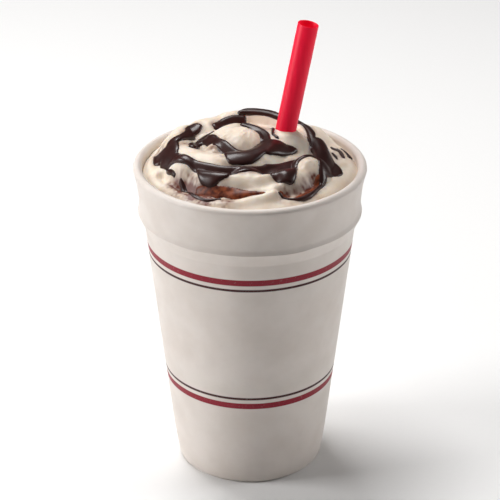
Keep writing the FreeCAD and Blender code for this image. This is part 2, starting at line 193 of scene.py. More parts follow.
@dataclass(frozen=True)
class Mottle:
    """Two close tones that drift into each other in patches of a real size."""

    low_tone: str
    high_tone: str
    size: float
    detail: float
    spread: tuple[float, float] = (0.35, 0.65)
    distortion: float = 0.0

    def pattern(self, tree: bpy.types.NodeTree, place: bpy.types.NodeSocket) -> Pattern:
        """Add the tones to a material.

        Args:
            tree: The material's node tree.
            place: Socket of the coordinates.

        Returns:
            Sockets of the bare noise and of the colour.
        """
        cloud = add_node(
            tree,
            "ShaderNodeTexNoise",
            {"Scale": 1 / (self.size * MM), "Detail": self.detail, "Distortion": self.distortion},
            {"Vector": place},
        ).outputs["Fac"]
        share = add_node(
            tree,
            "ShaderNodeMapRange",
            {"From Min": self.spread[0], "From Max": self.spread[1]},
            {"Value": cloud},
        )
        colour = add_node(
            tree,
            "ShaderNodeMix",
            {"data_type": "RGBA", 6: linear(self.low_tone), 7: linear(self.high_tone)},
            {0: share.outputs[0]},
        )
        return cloud, colour.outputs[2]


@dataclass(frozen=True)
class Stripe:
    """A level printed stripe: the height of its middle, half its height and its ink."""

    middle: float
    half: float
    ink: str


@dataclass(frozen=True)
class Finish:
    """What all finishes share: two tones under a surface that may have a fine relief."""

    name: str
    tones: Mottle
    roughness: float
    ior: float = 1.5
    specular: float = 0.5
    coat: float = 0.0
    coat_roughness: float = 0.1
    scatter: float = 0.0
    scatter_tint: tuple[float, float, float] = (1.0, 1.0, 1.0)
    scatter_depth: float = 1.0
    relief: float = 0.0
    relief_depth: float = 0.3

    def material(self) -> bpy.types.Material:
        """Make the material, whose pattern reads the piece's own coordinates.

        Returns:
            The material.
        """
        material = bpy.data.materials.new(self.name)
        material.use_nodes = True
        tree = material.node_tree
        tree.nodes.clear()
        place = add_node(tree, "ShaderNodeTexCoord").outputs["Object"]
        height, colour = self.pattern(tree, place)
        links = {"Base Color": colour}
        if self.relief > 0:
            bump = add_node(
                tree,
                "ShaderNodeBump",
                {"Strength": self.relief, "Distance": self.relief_depth * MM},
                {"Height": height},
            )
            links["Normal"] = bump.outputs[0]
        shader = add_node(tree, "ShaderNodeBsdfPrincipled", self.settings(), links)
        add_node(tree, "ShaderNodeOutputMaterial", links={"Surface": shader.outputs[0]})
        return material

    def pattern(self, tree: bpy.types.NodeTree, place: bpy.types.NodeSocket) -> Pattern:
        """Add the relief's height and the colour, which a plain finish takes from its tones."""
        return self.tones.pattern(tree, place)

    def settings(self) -> dict[str, Any]:
        """Gather what is the same all over the surface.

        Returns:
            Values for the shader's own inputs.
        """
        return {
            "Roughness": self.roughness,
            "IOR": self.ior,
            "Specular IOR Level": self.specular,
            "Coat Weight": self.coat,
            "Coat Roughness": self.coat_roughness,
            "Subsurface Weight": self.scatter,
            "Subsurface Radius": self.scatter_tint,
            "Subsurface Scale": self.scatter_depth * MM,
        }


@dataclass(frozen=True)
class Stripe:
    """A level printed stripe: the height of its middle, half its height and its ink."""

    middle: float
    half: float
    ink: str


@dataclass(frozen=True)
class Foam(Finish):
    """Expanded polystyrene, moulded by steam and printed with stripes.

    To the eye it is matt and warm white, faintly clouded, with the soft outlines of its beads just
    showing, and the ink on it is worn in specks where a bead stands proud.
    """

    name: str = "expanded_polystyrene"
    tones: Mottle = Mottle("DFD5CD", "E7DED7", 14.0, 3.0)
    roughness: float = 0.5
    specular: float = 0.35
    scatter: float = 0.15
    scatter_tint: tuple[float, float, float] = (1.0, 0.8, 0.7)
    scatter_depth: float = 2.0
    relief: float = 0.12
    relief_depth: float = 0.25
    stripes: tuple[Stripe, ...] = ()
    bead: float = 2.6
    ink_grain: float = 0.9
    ink_edge: float = 0.12

    def pattern(self, tree: bpy.types.NodeTree, place: bpy.types.NodeSocket) -> Pattern:
        """Print the stripes over the tones and raise the beads.

        Args:
            tree: The material's node tree.
            place: Socket of the coordinates.

        Returns:
            Sockets of the beads' height and of the colour.
        """
        _, colour = self.tones.pattern(tree, place)
        height = add_node(tree, "ShaderNodeSeparateXYZ", links={0: place}).outputs["Z"]
        worn = add_node(
            tree,
            "ShaderNodeTexNoise",
            {"Scale": 1 / (self.ink_grain * MM), "Detail": 4.0},
            {"Vector": place},
        )
        cover = add_node(
            tree,
            "ShaderNodeMapRange",
            {"From Min": 0.28, "From Max": 0.40, "To Min": 0.88, "To Max": 1.0},
            {"Value": worn.outputs["Fac"]},
        )
        for stripe in self.stripes:
            mask = self.mask(tree, height, stripe)
            printed = add_node(
                tree, "ShaderNodeMath", {"operation": "MULTIPLY"}, {0: mask, 1: cover.outputs[0]}
            )
            colour = add_node(
                tree,
                "ShaderNodeMix",
                {"data_type": "RGBA", 7: linear(stripe.ink)},
                {0: printed.outputs[0], 6: colour},
            ).outputs[2]
        beads = add_node(
            tree,
            "ShaderNodeTexVoronoi",
            {"feature": "SMOOTH_F1", "Scale": 1 / (self.bead * MM), "Smoothness": 0.6},
            {"Vector": place},
        )
        return beads.outputs["Distance"], colour

    def mask(
        self, tree: bpy.types.NodeTree, height: bpy.types.NodeSocket, stripe: Stripe
    ) -> bpy.types.NodeSocket:
        """Mask one stripe by its height.

        Args:
            tree: The material's node tree.
            height: Socket of the height, in metres.
            stripe: The stripe.

        Returns:
            A socket that is one inside the stripe and fades out over the ink's edge.
        """
        off = add_node(
            tree, "ShaderNodeMath", {"operation": "SUBTRACT", 1: stripe.middle * MM}, {0: height}
        )
        away = add_node(tree, "ShaderNodeMath", {"operation": "ABSOLUTE"}, {0: off.outputs[0]})
        settings = {
            "interpolation_type": "SMOOTHSTEP",
            "From Min": (stripe.half - self.ink_edge) * MM,
            "From Max": (stripe.half + self.ink_edge) * MM,
            "To Min": 1.0,
            "To Max": 0.0,
        }
        return add_node(tree, "ShaderNodeMapRange", settings, {"Value": away.outputs[0]}).outputs[0]


@dataclass(frozen=True)
class Polypropylene(Finish):
    """Polypropylene, extruded as a thin-walled tube.

    To the eye it is a saturated satin red with faint lines along the tube. Light comes through the
    thin wall from behind, so its shaded side stays bright: a weak glow of its own stands for that.
    """

    name: str = "polypropylene"
    tones: Mottle = Mottle("E01136", "EE153C", 1.2, 2.0, (0.3, 0.7))
    roughness: float = 0.42
    ior: float = 1.49
    specular: float = 0.3
    scatter: float = 0.25
    scatter_tint: tuple[float, float, float] = (1.0, 0.15, 0.15)
    scatter_depth: float = 2.0
    relief: float = 0.06
    relief_depth: float = 0.1
    line_length: float = 40.0
    glow: float = 0.18

    def pattern(self, tree: bpy.types.NodeTree, place: bpy.types.NodeSocket) -> Pattern:
        """Draw the tones out into lines along the tube.

        Args:
            tree: The material's node tree.
            place: Socket of the coordinates.

        Returns:
            Sockets of the lines' height and of the colour.
        """
        drawn_out = (1.0, 1.0, self.tones.size / self.line_length)
        mapping = add_node(tree, "ShaderNodeMapping", {"Scale": drawn_out}, {"Vector": place})
        return self.tones.pattern(tree, mapping.outputs[0])

    def settings(self) -> dict[str, Any]:
        """Add the glow that stands for light through the wall."""
        glow = {"Emission Color": linear(self.tones.high_tone), "Emission Strength": self.glow}
        return {**super().settings(), **glow}


@dataclass(frozen=True)
class IceMilk(Finish):
    """Ice milk, whipped and piped soft.

    To the eye it is dense and creamy, a little light passing through its edges, a wet sheen where
    it has begun to melt, brown where sauce has run into it and, in one hollow, brown painted shade.
    """

    name: str = "ice_milk"
    tones: Mottle = Mottle("E6D4BF", "F2E6D6", 11.0, 4.0, (0.3, 0.62), 0.8)
    roughness: float = 0.38
    ior: float = 1.36
    scatter: float = 0.45
    scatter_tint: tuple[float, float, float] = (1.0, 0.72, 0.45)
    scatter_depth: float = 2.2
    relief: float = 0.12
    # Brown of melted sauce, also used as painted shade in one hollow.
    stain_and_shade_tone: str = "6B3324"
    ice_grain: float = 0.8

    def pattern(self, tree: bpy.types.NodeTree, place: bpy.types.NodeSocket) -> Pattern:
        """Turn the tones brown by the piece's stain_and_shade attribute, which holds melted sauce and
        some painted shade, and add the grain of the ice.

        Args:
            tree: The material's node tree.
            place: Socket of the coordinates.

        Returns:
            Sockets of the grain's height and of the colour.
        """
        _, cream = self.tones.pattern(tree, place)
        stain_and_shade = add_node(tree, "ShaderNodeAttribute", {"attribute_name": "stain_and_shade"})
        # The attribute's brown is melted sauce and, in one hollow, painted shade.
        colour = add_node(
            tree,
            "ShaderNodeMix",
            {"data_type": "RGBA", 7: linear(self.stain_and_shade_tone)},
            {0: stain_and_shade.outputs["Fac"], 6: cream},
        )
        grain = add_node(
            tree,
            "ShaderNodeTexNoise",
            {"Scale": 1 / (self.ice_grain * MM), "Detail": 5.0},
            {"Vector": place},
        )
        return grain.outputs["Fac"], colour.outputs[2]


@dataclass(frozen=True)
class Fudge(Finish):
    """Chocolate fudge sauce, poured warm and thick.

    To the eye it is a near-black brown with a soft satin gloss that follows its rounded edges.
    """

    name: str = "chocolate_fudge_sauce"
    tones: Mottle = Mottle("2E1613", "3B1E1A", 4.0, 3.0, (0.35, 0.7))
    roughness: float = 0.35
    ior: float = 1.47
    specular: float = 0.4
    coat: float = 0.12
    coat_roughness: float = 0.14
    relief: float = 0.08


@dataclass(frozen=True)
class Syrup(Finish):
    """Chocolate sauce thinned by melted shake.

    To the eye it is amber brown where it is thin and darker where it has gathered.
    """

    name: str = "thin_chocolate_syrup"
    tones: Mottle = Mottle("4A1C10", "8E4A2C", 2.0, 5.0)
    roughness: float = 0.38
    ior: float = 1.42
    specular: float = 0.3
    scatter: float = 0.3
    scatter_tint: tuple[float, float, float] = (1.0, 0.3, 0.1)


@dataclass(frozen=True)
class Paper(Finish):
    """Seamless studio paper: matt and nearly white, with fibres that barely show."""

    name: str = "studio_paper"
    tones: Mottle = Mottle("F8F7F6", "FBFAF9", 2.0, 2.0, (0.0, 1.0))
    roughness: float = 0.9


# ---- The cup ----


@dataclass
class FoamCup:
    """The moulded foam cup: drops run down from the rim, insets in from the rim's radius."""

    height: float
    rim_radius: float
    base_radius: float = 30.0
    wall: float = 2.5
    floor: float = 2.5
    recess: float = 2.5
    foot_ring: float = 5.0
    foot_height: float = 13.0
    foot_flare: float = 2.0
    lip_radius: float = 1.8
    lip_drop: float = 4.0
    lip_bulge: float = 0.6
    collar_drop: float = 20.4
    collar_inset: float = 1.8
    collar_curve: float = 70.0
    bead_height: float = 1.8
    bead_relief: float = 0.35
    shoulder_height: float = 5.3
    shoulder_inset: float = 2.4
    shoulder_round: float = 2.0
    ridge_relief: float = 0.3
    crease_round: float = 0.3
    ridge_round: float = 0.35
    base_round: float = 2.0
    floor_round: float = 4.0
    segments: int = 288
    upper_stripe: float = 33.4
    lower_stripe: float = 93.1
    band_half: float = 1.35
    line_half: float = 0.55
    stripe_gap: float = 3.6
    band_ink: str = "900424"
    line_ink: str = "3C0206"
    # The unevenness of moulded foam: shallow dents on the wall, but neither on the foot's edge nor
    # near the axis, and a crease under the collar that wavers up and down.
    dent: float = 0.05
    dent_size: float = 9.0
    still_height: float = 1.0
    still_radius: float = 26.0
    crease_wave: float = 0.22
    crease_wave_size: float = 11.0
    crease_reach: float = 2.2
    crease_depth: float = 5.0
    smooth_degrees: float = 38.0

    @classmethod
    def from_frame(cls) -> "FoamCup":
        """Take the cup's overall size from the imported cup."""
        low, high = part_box("foam_cup")
        return cls(height=high.z / MM, rim_radius=(high.x - low.x) / 2 / MM)

    @property
    def mouth_radius(self) -> float:
        """Radius of the open mouth inside the lip."""
        return self.rim_radius - 2 * self.lip_radius

    def inner_corners(self) -> list[Point]:
        """Find the corners of the inside's half section.

        Returns:
            Radius and height of each corner, from the lip down to the floor.
        """
        floor_top = self.recess + self.floor
        flare = self.foot_flare * floor_top / self.foot_height
        bead_top = self.height - self.collar_drop + self.bead_height
        shoulder = self.height - self.collar_drop - self.shoulder_height
        neck = self.rim_radius - self.collar_inset - self.wall
        return [
            (self.mouth_radius, self.height - self.lip_radius),
            (neck - self.bead_relief, bead_top),
            (neck - self.shoulder_inset, shoulder),
            (self.base_radius + self.foot_flare - self.wall, self.foot_height),
            (self.base_radius + flare - self.wall, floor_top),
        ]

    def outline(self) -> list[Point]:
        """Draw the half section, from the recess under the foot round to the floor inside.

        Returns:
            Radius and height of each point.
        """
        collar_foot = self.height - self.collar_drop
        bead = self.rim_radius - self.collar_inset
        ring_inside = (self.base_radius - self.foot_ring, 0.0)
        foot_top = (self.base_radius + self.foot_flare, self.foot_height)
        shoulder = (bead - self.shoulder_inset, collar_foot - self.shoulder_height)
        crease = (bead, collar_foot)
        ridge = (bead + self.ridge_relief, collar_foot + self.ridge_relief)
        bead_top = (bead - self.bead_relief, collar_foot + self.bead_height)
        lip_foot = (self.rim_radius - self.lip_bulge, self.height - self.lip_drop)
        lip_middle = (self.rim_radius - self.lip_radius, self.height - self.lip_radius)
        corners = [(ring_inside[0], self.recess), ring_inside]
        corners += rounded(ring_inside, (self.base_radius, 0.0), foot_top, self.base_round)
        corners.append(foot_top)
        corners += rounded(foot_top, shoulder, crease, self.shoulder_round)
        corners += rounded(shoulder, crease, ridge, self.crease_round)
        corners += rounded(crease, ridge, bead_top, self.ridge_round)
        corners += sagging_arc(bead_top, lip_foot, self.collar_curve)
        corners += lip_arc(lip_middle, self.lip_radius)
        inner = self.inner_corners()[1:]
        corners += inner[:-1]
        corners += rounded(inner[-2], inner[-1], (0.0, inner[-1][1]), self.floor_round)
        return corners

    def build(self) -> bpy.types.Object:
        """Model the cup ring by ring and dress it.

        Returns:
            The cup.
        """
        bpy.ops.object.select_all(action="DESELECT")
        outline = self.outline()
        radius, height = outline[0]
        bpy.ops.mesh.primitive_circle_add(
            vertices=self.segments,
            radius=radius * MM,
            fill_type="NGON",
            location=(0, 0, height * MM),
        )
        cup = bpy.context.object
        cup.name = "cup_of_foam"
        bpy.ops.object.mode_set(mode="EDIT")
        bpy.ops.mesh.select_all(action="SELECT")
        bpy.ops.mesh.region_to_loop()
        for next_radius, next_height in outline[1:]:
            bpy.ops.mesh.extrude_edges_move(
                TRANSFORM_OT_translate={"value": (0, 0, (next_height - height) * MM)}
            )
            factor = next_radius / radius
            bpy.ops.transform.resize(
                value=(factor, factor, 1), center_override=(0, 0, next_height * MM)
            )
            radius, height = next_radius, next_height
        bpy.ops.mesh.edge_face_add()
        bpy.ops.mesh.select_all(action="SELECT")
        bpy.ops.mesh.normals_make_consistent(inside=False)
        bpy.ops.object.mode_set(mode="OBJECT")
        bpy.ops.object.transform_apply(location=True, rotation=True, scale=True)
        self.unsettle(cup)
        bpy.ops.object.shade_smooth_by_angle(angle=math.radians(self.smooth_degrees))
        settle(cup, Foam(stripes=self.stripes()).material(), Slot.FOAM, "foam_cup")
        return cup

    def unsettle(self, cup: bpy.types.Object) -> None:
        """Give the moulded wall the slight unevenness of real foam.

        Args:
            cup: The finished cup.
        """
        count = len(cup.data.vertices)
        points = np.empty(count * 3)
        cup.data.vertices.foreach_get("co", points)
        points = points.reshape(-1, 3) / MM
        height = points[:, 2]
        distance = np.hypot(points[:, 0], points[:, 1])
        bearing = np.arctan2(points[:, 1], points[:, 0])
        free = (height > self.still_height) & (distance > self.still_radius)
        dents = smooth_noise(bearing * self.base_radius, height, self.dent_size, 3)
        inward = np.where(free, self.dent * (dents - 1.0), 0.0)
        points[:, :2] *= (1 + inward / np.maximum(distance, 1.0))[:, None]
        crease = self.height - self.collar_drop
        outside = distance > self.rim_radius - self.crease_depth
        near = np.exp(-(((height - crease) / self.crease_reach) ** 2)) * outside
        wave = smooth_noise(bearing * self.rim_radius, 0 * bearing, self.crease_wave_size, 8)
        points[:, 2] += near * self.crease_wave * wave
        cup.data.vertices.foreach_set("co", (points * MM).ravel())
        cup.data.update()

    def stripes(self) -> tuple[Stripe, ...]:
        """Place the two bands, each with a thin line on the side towards the cup's middle.

        Returns:
            The printed stripes.
        """
        upper, lower = self.height - self.upper_stripe, self.height - self.lower_stripe
        return (
            Stripe(upper, self.band_half, self.band_ink),
            Stripe(upper - self.stripe_gap, self.line_half, self.line_ink),
            Stripe(lower, self.band_half, self.band_ink),
            Stripe(lower + self.stripe_gap, self.line_half, self.line_ink),
        )


def rounded(before: Point, corner: Point, after: Point, radius: float, steps: int = 6) -> list[Point]:
    """Return points round a corner of a section, tangent to both its sides.

    Args:
        before: The point before the corner.
        corner: The sharp corner.
        after: The point after the corner.
        radius: Radius of the round.
        steps: Number of spans in it.

    Returns:
        The round's points in order.
    """
    at = np.array(corner)
    back = np.array(before) - at
    ahead = np.array(after) - at
    back = back / np.linalg.norm(back)
    ahead = ahead / np.linalg.norm(ahead)
    half = math.acos(float(np.clip(back @ ahead, -1, 1))) / 2
    trim = radius / math.tan(half)
    centre = at + (back + ahead) / np.linalg.norm(back + ahead) * (radius / math.sin(half))
    first, last = at + back * trim - centre, at + ahead * trim - centre
    points = []
    for step in range(steps + 1):
        part = step / steps
        way = first * (1 - part) + last * part
        way = way / np.linalg.norm(way) * radius
        points.append((float(centre[0] + way[0]), float(centre[1] + way[1])))
    return points


def sagging_arc(start: Point, end: Point, radius: float, steps: int = 14) -> list[Point]:
    """Return points of a hollow arc between two points of a section.

    Args:
        start: First point.
        end: Last point.
        radius: Radius of the hollow.
        steps: Number of spans.

    Returns:
        The arc's points in order, both ends included.
    """
    first, last = np.array(start), np.array(end)
    chord = last - first
    length = float(np.linalg.norm(chord))
    inward = np.array((-chord[1], chord[0])) / length
    points = []
    for step in range(steps + 1):
        off = (step / steps - 0.5) * length
        sag = math.sqrt(radius**2 - off**2) - math.sqrt(radius**2 - length**2 / 4)
        spot = first + chord * (step / steps) + inward * sag
        points.append((float(spot[0]), float(spot[1])))
    return points


def lip_arc(centre: Point, radius: float, steps: int = 16) -> list[Point]:
    """Return points over a rolled lip, from its outside to its inside.

    Args:
        centre: Middle of the roll.
        radius: Radius of the roll.
        steps: Number of spans.

    Returns:
        The half round's points in order.
    """
    turns = [math.pi * step / steps for step in range(steps + 1)]
    return [
        (centre[0] + radius * math.cos(turn), centre[1] + radius * math.sin(turn)) for turn in turns
    ]


# ---- The straw ----


@dataclass
class Straw:
    """The open straw, leaning to the right."""

    foot: Vector
    mouth: Vector
    diameter: float = 8.4
    wall: float = 0.4
    rim_round_share: float = 0.35
    segments: int = 96
    smooth_degrees: float = 40.0

    @classmethod
    def from_frame(cls, lean_degrees: float = 10.7) -> "Straw":
        """Find both ends of the straw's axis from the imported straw.

        Args:
            lean_degrees: How far the straw leans from upright.

        Returns:
            The straw.
        """
        low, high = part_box("straw")
        radius = (high.y - low.y) / 2
        lean = math.radians(lean_degrees)
        across, upward = radius * math.cos(lean), radius * math.sin(lean)
        middle = (low.y + high.y) / 2
        foot = Vector((low.x + across, middle, low.z + upward)) / MM
        mouth = Vector((high.x - across, middle, high.z - upward)) / MM
        return cls(foot=foot, mouth=mouth, diameter=2 * radius / MM)

    def build(self) -> bpy.types.Object:
        """Model the tube upright, lean it and dress it.

        Returns:
            The straw.
        """
        bpy.ops.object.select_all(action="DESELECT")
        length = (self.mouth - self.foot).length * MM
        outer = self.diameter / 2 * MM
        bpy.ops.mesh.primitive_cylinder_add(
            vertices=self.segments,
            radius=outer,
            depth=length,
            end_fill_type="NGON",
            location=(0, 0, length / 2),
        )
        straw = bpy.context.object
        straw.name = "drinking_straw"
        bpy.ops.object.transform_apply(location=True, rotation=True, scale=True)
        bpy.ops.object.mode_set(mode="EDIT")
        bpy.ops.mesh.select_mode(type="FACE")
        bpy.ops.mesh.select_all(action="DESELECT")
        bpy.ops.object.mode_set(mode="OBJECT")
        for face in straw.data.polygons:
            face.select = abs(face.normal.z) > 0.9
        bpy.ops.object.mode_set(mode="EDIT")
        bpy.ops.mesh.inset(thickness=self.wall * MM, depth=0)
        bpy.ops.mesh.bridge_edge_loops()
        bpy.ops.object.mode_set(mode="OBJECT")
        bevel = straw.modifiers.new("rim_round", "BEVEL")
        bevel.width = self.wall * self.rim_round_share * MM
        bevel.segments = 2
        bevel.limit_method = "ANGLE"
        bevel.angle_limit = math.radians(50)
        bpy.ops.object.modifier_apply(modifier="rim_round")
        turn = (self.mouth - self.foot).to_track_quat("Z", "Y").to_matrix().to_4x4()
        straw.data.transform(turn)
        straw.data.transform(Matrix.Translation(self.foot * MM))
        bpy.ops.object.shade_smooth_by_angle(angle=math.radians(self.smooth_degrees))
        settle(straw, Polypropylene().material(), Slot.STRAW, "straw")
        return straw


# ---- The swirled top ----


@dataclass(frozen=True)
class Coil:
    """A round-backed rope of soft shake along a spiral: angles, mouth shares and rises."""

    angles: tuple[float, float]
    shares: tuple[float, float]
    rises: tuple[float, float]
    width: float
    drop: float
    closing: float = 1.0
    tilt: float = 0.0
    saddle: float = 0.0
    shift: tuple[float, float] = (0.0, 0.0)

    def rise(self, x: Array, y: Array, mouth: float) -> Array:
        """Return the rope's height over the lip.

        Args:
            x: Places, in millimetres.
            y: Places, in millimetres.
            mouth: Radius of the mouth.

        Returns:
            Heights of the same shape as x.
        """
        x = x - self.shift[0]
        y = y - self.shift[1]
        first, last = self.angles
        distance = np.hypot(x, y)
        bearing = np.degrees(np.arctan2(y, x))
        highest = np.full(np.shape(x), -2 * FAR)
        for turn in range(math.floor((first - 180) / 360), math.ceil((last + 180) / 360) + 1):
            angle = bearing + 360 * turn
            along = np.clip((angle - first) / (last - first), 0, 1)
            closed = 1 - (1 - along) ** self.closing
            radius = mouth * (self.shares[0] + (self.shares[1] - self.shares[0]) * closed)
            past_end = np.clip(np.maximum(first - angle, angle - last), 0, 180)
            apart = (distance - radius) ** 2 + (np.radians(past_end) * radius) ** 2
            crest = self.rises[0] + (self.rises[1] - self.rises[0]) * along
            turned = np.radians(angle)
            crest = crest + self.tilt * np.sin(turned) - self.saddle * np.cos(2 * turned)
            highest = np.maximum(highest, crest - self.drop * apart / self.width**2)
        return highest


@dataclass
class Swirl:
    """The shake's swirled top as a height over every place in the mouth."""

    lip: float
    mouth: float
    skirt_share: float = 0.84
    skirt_rise: float = 0.1
    skirt_wave: float = 0.35
    skirt_turn: float = 0.6
    skirt_slope: float = 0.035
    dome_rise: float = 9.2
    dome_fall: float = 13.5
    dome_centre: tuple[float, float] = (-2.0, 4.0)
    dome_shoulder: float = 0.69
    dome_roll_off: float = 0.05
    edge_drop: float = 4.2
    groove_depth: float = 3.0
    blend: float = 0.6
    fold: Coil = Coil((-128, -75), (0.96, 0.79), (-2.4, 3.2), 3.8, 4.2)
    ridge: Coil = Coil((-215, 150), (0.70, 0.60), (5.1, 8.7), 6.2, 6.5, tilt=1.1, saddle=1.9)
    heart: Coil = Coil(
        (150, 520), (0.62, 0.16), (8.9, 13.0), 7.0, 4.6, closing=1.7, shift=(-3.5, 1.5)
    )
    groove: Coil = Coil((-160, -70), (0.84, 0.69), (0, 0), 2.6, 1.0)
    # Rounded dollops: angle, share, rise over the lip, half width and the drop at that half width.
    dollops: tuple[tuple[float, float, float, float, float], ...] = (
        (-151.0, 0.66, 8.4, 8.0, 6.0),
        (-93.0, 0.57, 7.2, 8.6, 5.2),
        (-32.0, 0.63, 8.4, 7.5, 6.0),
        (-153.0, 0.36, 10.2, 6.0, 5.0),
        (-166.0, 0.10, 14.6, 10.0, 5.0),
        (40.0, 0.72, 6.4, 8.0, 4.0),
        (135.0, 0.60, 10.6, 8.5, 5.0),
        (24.0, 0.34, 12.0, 9.0, 4.5),
    )
    ripple: float = 0.38
    broad_size: float = 5.5
    fine_size: float = 2.1
    drag_size: float = 7.0
    torn_pitch: float = 2.4
    torn_place: tuple[float, float] = (-152.0, 0.38)
    torn_reach: float = 4.5

    def height(self, x: Array, y: Array, rippled: bool = True) -> Array:
        """Return the height of the top over the ground.

        Args:
            x: Places, in millimetres.
            y: Places, in millimetres.
            rippled: Whether to add the small unevenness.

        Returns:
            Heights of the same shape as x.
        """
        distance = np.hypot(x, y)
        reach = np.hypot(x - self.dome_centre[0], y - self.dome_centre[1]) / self.mouth
        beyond = np.maximum(distance - self.dome_shoulder * self.mouth, 0)
        dome = self.dome_rise - self.dome_fall * reach**2 - self.dome_roll_off * beyond**2
        skirt_radius = self.mouth * self.skirt_share
        outward = distance - skirt_radius
        wave = self.skirt_rise + self.skirt_wave * np.sin(2 * np.arctan2(y, x) + self.skirt_turn)
        fallen = np.where(
            outward > 0,
            self.edge_drop * (outward / (self.mouth - skirt_radius)) ** 2,
            self.skirt_slope * outward**2,
        )
        rises = [dome, wave - fallen]
        rises += [coil.rise(x, y, self.mouth) for coil in (self.fold, self.ridge, self.heart)]
        for degrees, share, rise, width, drop in self.dollops:
            at_x, at_y = self.place(degrees, share)
            rises.append(rise - drop * ((x - at_x) ** 2 + (y - at_y) ** 2) / width**2)
        peak = np.max(rises, axis=0)
        melted = sum(np.exp((rise - peak) / self.blend) for rise in rises)
        sunk = self.groove_depth * np.exp(np.minimum(self.groove.rise(x, y, self.mouth), 0))
        small = self.texture(x, y) if rippled else 0.0
        return self.lip + peak + self.blend * np.log(melted) - sunk + small

    def texture(self, x: Array, y: Array) -> Array:
        """Return the small unevenness of soft shake that has begun to melt.

        Args:
            x: Places, in millimetres.
            y: Places, in millimetres.

        Returns:
            Heights of the same shape as x.
        """
        broad = smooth_noise(x, y, self.broad_size, 21)
        fine = smooth_noise(x, y, self.fine_size, 22)
        bearing = np.arctan2(y, x) * self.mouth
        dragged = smooth_noise(bearing, 3.0 * np.hypot(x, y), self.drag_size, 23)
        at_x, at_y = self.place(*self.torn_place)
        near = np.exp(-((x - at_x) ** 2 + (y - at_y) ** 2) / self.torn_reach**2)
        torn = near * np.sin(2 * np.pi * (y + 0.25 * x) / self.torn_pitch + 1.5 * broad)
        return self.ripple * (broad + 0.3 * fine + 0.5 * dragged + 0.9 * torn)

    def normal(self, x: Array, y: Array) -> Array:
        """Return the unit normals of the top, one row each.

        Args:
            x: Places, in millimetres.
            y: Places, in millimetres.

        Returns:
            An array with three columns.
        """
        step = 0.2
        slope_x = self.height(x + step, y, False) - self.height(x - step, y, False)
        slope_y = self.height(x, y + step, False) - self.height(x, y - step, False)
        normals = np.stack([-slope_x, -slope_y, np.full_like(slope_x, 2 * step)], axis=-1)
        return normals / np.linalg.norm(normals, axis=-1, keepdims=True)

    def place(self, degrees: float, share: float) -> tuple[float, float]:
        """Return the place, in millimetres, at an angle and a share of the mouth's radius."""
        turned, radius = math.radians(degrees), share * self.mouth
        return radius * math.cos(turned), radius * math.sin(turned)


